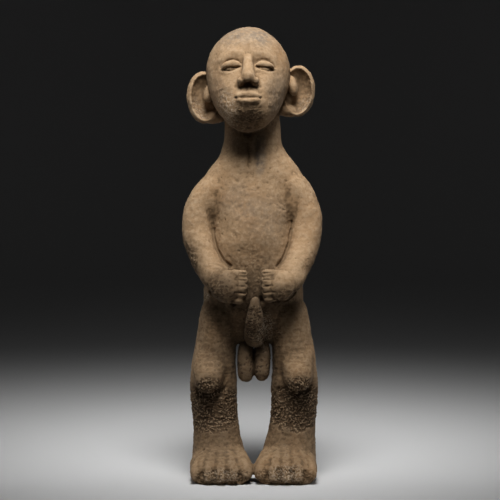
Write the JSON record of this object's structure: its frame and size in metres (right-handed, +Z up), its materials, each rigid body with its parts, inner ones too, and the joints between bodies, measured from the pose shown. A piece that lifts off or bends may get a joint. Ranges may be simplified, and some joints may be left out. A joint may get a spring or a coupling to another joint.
{
  "type": "ancestor statue",
  "caption": "Hand-modelled nude standing figure of fired clay: upturned bald head, big cupped ears, fists on the belly, broad feet; stands on flat soles.",
  "frame": {"origin": "on the ground under the middle of the figure: the centre of the bounding box's underside", "axes": "+Z up along the figure's height, -Y the way it faces, +X to the viewer's right"},
  "size_m": [0.1302, 0.0992, 0.4204],
  "materials": {
    "fired_clay": "matt unglazed fired clay, pitted and worn, with dark stains"
  },
  "bodies": {
    "root": {"standing_figure": "fired_clay"}
  },
  "joints": []
}
